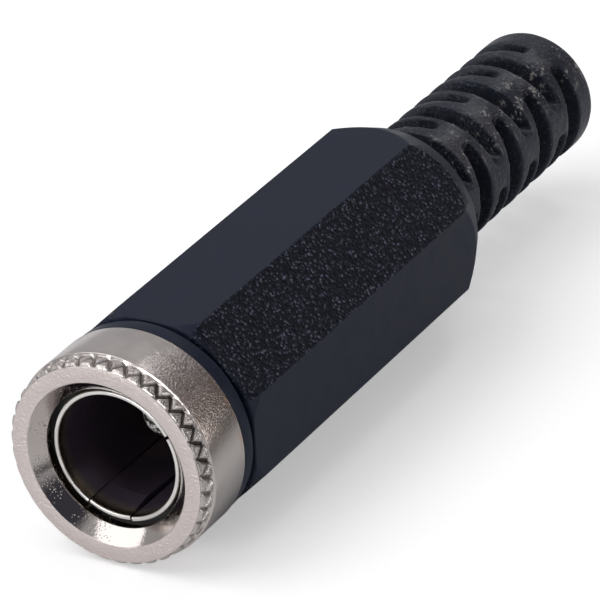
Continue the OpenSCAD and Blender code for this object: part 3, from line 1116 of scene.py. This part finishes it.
def sheet_finish(name, color, roughness, seed, deeper_color=None):
    material, tree, shader, coords = new_finish(name, color, roughness, 1.0)
    grain = use_grain(tree, coords, 0.12, 1.4, seed)
    clouds = ramp(tree, grain["Clouds"], 0.35, 0.65)
    darker = tuple(CLOUD_SHADE * channel for channel in color)
    tint = blend_colors(tree, clouds, darker, color)
    if deeper_color:
        depth = use_axis(tree, coords)["Depth"]
        # Further in from the rim the sheet turns darker purple-black and less metallic.
        inner = ramp(tree, depth, *DEEPER_SHEET_DEPTHS)
        tint = blend_colors(tree, inner, tint, deeper_color)
        tree.links.new(blend_values(tree, inner, 1.0, 0.5), shader.inputs["Metallic"])
    tree.links.new(tint, shader.inputs["Base Color"])
    rough = blend_values(tree, clouds, roughness + 0.08, roughness)
    tree.links.new(rough, shader.inputs["Roughness"])
    height = calc(tree, "ADD", grain["Grain"], both(tree, grain["Clouds"], 2.0))
    bump(tree, shader, height, 0.006 * MM)
    return material


def pin_finish():
    material, tree, shader, coords = new_finish("pin_metal", (0.74, 0.66, 0.52), 0.3, 1.0)
    axis = use_axis(tree, coords)
    dents = use_grain(tree, coords, 0.24, 0.8, 31.0)
    tip = ramp(tree, axis["Depth"], *TIP_DEPTHS, 1.0, 0.0)
    less_metallic = ramp(tree, axis["Depth"], *LESS_METALLIC_DEPTHS, 1.0, 0.0)
    # Painted highlight: the tip's colour is near-white where raised and painted dark in its dents,
    # and it is made less metallic so that this colour shows.
    tip_highlight_mask = ramp(tree, dents["Grain"], 0.48, 0.56)
    painted_tip_highlight = blend_colors(tree, tip_highlight_mask, DENT_PAINTED_SHADE, TIP_PAINTED_HIGHLIGHT)
    tree.links.new(blend_colors(tree, tip, PIN_COLOR, painted_tip_highlight), shader.inputs["Base Color"])
    tree.links.new(blend_values(tree, less_metallic, 1.0, 0.35), shader.inputs["Metallic"])
    bump(tree, shader, both(tree, dents["Grain"], tip), 0.4 * MM)
    return material


def insulator_finish():
    material, tree, shader, coords = new_finish(
        "insulating_moulding", (0.011, 0.011, 0.012), 0.5
    )
    grain = use_grain(tree, coords, 0.2, 1.5, 40.0)
    tint = blend_colors(tree, grain["Clouds"], INSULATOR_DARK, INSULATOR_PALE)
    tree.links.new(tint, shader.inputs["Base Color"])
    tree.links.new(blend_values(tree, grain["Clouds"], 0.42, 0.58), shader.inputs["Roughness"])
    bump(tree, shader, grain["Grain"], 0.01 * MM)
    return material


FINISHES = {
    "sleeve_contact": sheet_finish("contact_sheet", SHEET_COLOR, 0.17, 26.0, DEEP_SHEET_COLOR),
    "centre_pin": pin_finish(),
    "insulator": insulator_finish(),
    "earth_tag": sheet_finish("tag_metal", TAG_COLOR, 0.3, 28.0),
}
for node, material in FINISHES.items():
    nodes[node].data.materials.clear()
    nodes[node].data.materials.append(material)
cut_edge = sheet_finish("burnished_cut_edge", CUT_COLOR, 0.24, 33.0)
for rim in rims:
    rim.data.materials.append(cut_edge)
    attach(rim, "root")
other_finishes = (nickel, moulding, soft_moulding, cut_edge)
print("finishes:", len(FINISHES) + len(other_finishes))

# %% [markdown]
# A pale floor carries the connector's shadow. The camera sees the backdrop as
# white, and the floor glows for the camera only, so that it is white outside
# the shadow. On the camera's side the floor is painted grey, a painted shade
# that the metal reflects, and it glows more there to stay white to the camera.
# The metal sees a softly graded room, with one dark patch that gives the head
# its brown band and another where the camera stands.


# %% Floor and room
FLOOR_SIZE = 6
# Painted shade: the floor's own colour is grey on the camera's side, and the metal reflects it.
FLOOR_PAINTED_SHADE, FLOOR_OPEN = 0.18, 0.9  # grey on the camera's side, and beyond it
GLOW_MOST, GLOW_LESS = 1.15, 0.85
ROOM_LOW, ROOM_HIGH = (0.44, 0.44, 0.45), (0.55, 0.55, 0.56)
# Each patch: the way towards it, where it is full and where it ends, its color.
ROOM_PATCHES = (
    ((0.77, -0.50, 0.40), 16, 30, (0.14, 0.11, 0.10)),
    ((-0.58, -0.56, 0.6), 20, 36, (0.06, 0.06, 0.075)),
)


def add_floor():
    bpy.ops.mesh.primitive_plane_add(size=FLOOR_SIZE, location=(0, 0, 0))
    floor = bpy.context.object
    floor.name = "floor"
    material = bpy.data.materials.new("pale_floor")
    material.use_nodes = True
    tree = material.node_tree
    tree.nodes.clear()
    coords = tree.nodes.new("ShaderNodeTexCoord").outputs["Object"]
    across = add_node(tree, "ShaderNodeSeparateXYZ", Vector=coords).outputs["Y"]
    # Painted shade: grey floor colour on the camera's side, pale beyond it.
    shade = ramp(tree, across, -0.04, -0.002, FLOOR_PAINTED_SHADE, FLOOR_OPEN)
    paper = add_node(tree, "ShaderNodeBsdfDiffuse", Color=shade)
    ray = tree.nodes.new("ShaderNodeLightPath")
    lift = calc(tree, "SUBTRACT", GLOW_MOST, calc(tree, "MULTIPLY", shade, GLOW_LESS))
    strength = calc(tree, "MULTIPLY", ray.outputs["Is Camera Ray"], lift)
    glow = add_node(tree, "ShaderNodeEmission", Strength=strength)
    sum_of_both = tree.nodes.new("ShaderNodeAddShader")
    out = tree.nodes.new("ShaderNodeOutputMaterial")
    tree.links.new(paper.outputs[0], sum_of_both.inputs[0])
    tree.links.new(glow.outputs[0], sum_of_both.inputs[1])
    tree.links.new(sum_of_both.outputs[0], out.inputs["Surface"])
    floor.data.materials.append(material)
    floor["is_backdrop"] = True


def room_patch(tree, direction, toward, narrow, wide):
    """1 inside a cone round a direction, 0 outside it."""
    dot = add_node(tree, "ShaderNodeVectorMath", {"operation": "DOT_PRODUCT"})
    tree.links.new(direction, dot.inputs[0])
    dot.inputs[1].default_value = Vector(toward).normalized()
    ends, full = math.cos(math.radians(wide)), math.cos(math.radians(narrow))
    return ramp(tree, dot.outputs["Value"], ends, full)


def add_room():
    world = bpy.data.worlds.new("room")
    world.use_nodes = True
    tree = world.node_tree
    tree.nodes.clear()
    direction = tree.nodes.new("ShaderNodeTexCoord").outputs["Generated"]
    rise = add_node(tree, "ShaderNodeSeparateXYZ", Vector=direction).outputs["Z"]
    grade = blend_colors(tree, ramp(tree, rise, -0.2, 0.9), ROOM_LOW, ROOM_HIGH)
    for toward, narrow, wide, color in ROOM_PATCHES:
        patch = room_patch(tree, direction, toward, narrow, wide)
        grade = blend_colors(tree, patch, grade, color)
    back = add_node(tree, "ShaderNodeBackground", Color=grade)
    seen = add_node(tree, "ShaderNodeBackground", Color=(1, 1, 1, 1))
    ray = tree.nodes.new("ShaderNodeLightPath")
    mix = tree.nodes.new("ShaderNodeMixShader")
    out = tree.nodes.new("ShaderNodeOutputWorld")
    tree.links.new(ray.outputs["Is Camera Ray"], mix.inputs[0])
    tree.links.new(back.outputs[0], mix.inputs[1])
    tree.links.new(seen.outputs[0], mix.inputs[2])
    tree.links.new(mix.outputs[0], out.inputs["Surface"])
    bpy.context.scene.world = world


add_floor()
add_room()
print("floor and room made")

# %% [markdown]
# Large soft lamps light the part. In metal a lamp shows as a bright patch whose
# brightness doesn't depend on its size, so each lamp is given the brightness
# of its face, and its power follows from that and the area.


# %% Lamps
def add_softbox(name, location, aim, size, strength):
    data = bpy.data.lights.new(name, "AREA")
    data.shape = "RECTANGLE"
    data.size, data.size_y = size
    data.energy = strength * math.pi * size[0] * size[1]
    lamp = bpy.data.objects.new(name, data)
    lamp.location = location
    look = Vector(aim) - Vector(location)
    lamp.rotation_euler = look.to_track_quat("-Z", "Y").to_euler()
    bpy.context.collection.objects.link(lamp)


# Each lamp: where it stands, what it aims at, its sides in metres, its brightness.
SOFTBOXES = {
    "top_softbox": ((-0.18, 0.26, 0.38), (0, 0, 0), (0.42, 0.42), 1.6),
    "front_softbox": ((-0.5, 0.1, 0.07), (0, 0, 0.005), (0.24, 0.2), 7.0),
    "right_softbox": ((0.15, -0.48, 0.06), (0, 0, 0.005), (0.3, 0.25), 2.5),
    "rear_spark": ((0.28, -0.02, 0.42), (0, 0, 0.005), (0.09, 0.09), 3.5),
}
for name, (location, aim, size, strength) in SOFTBOXES.items():
    add_softbox(name, location, aim, size, strength)
print("softboxes:", len(SOFTBOXES))

# %% Finish
boxes = {"cad": cad_box, "visual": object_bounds()}
boxes = {name: [list(map(float, corner)) for corner in box] for name, box in boxes.items()}
print("boxes:", boxes)
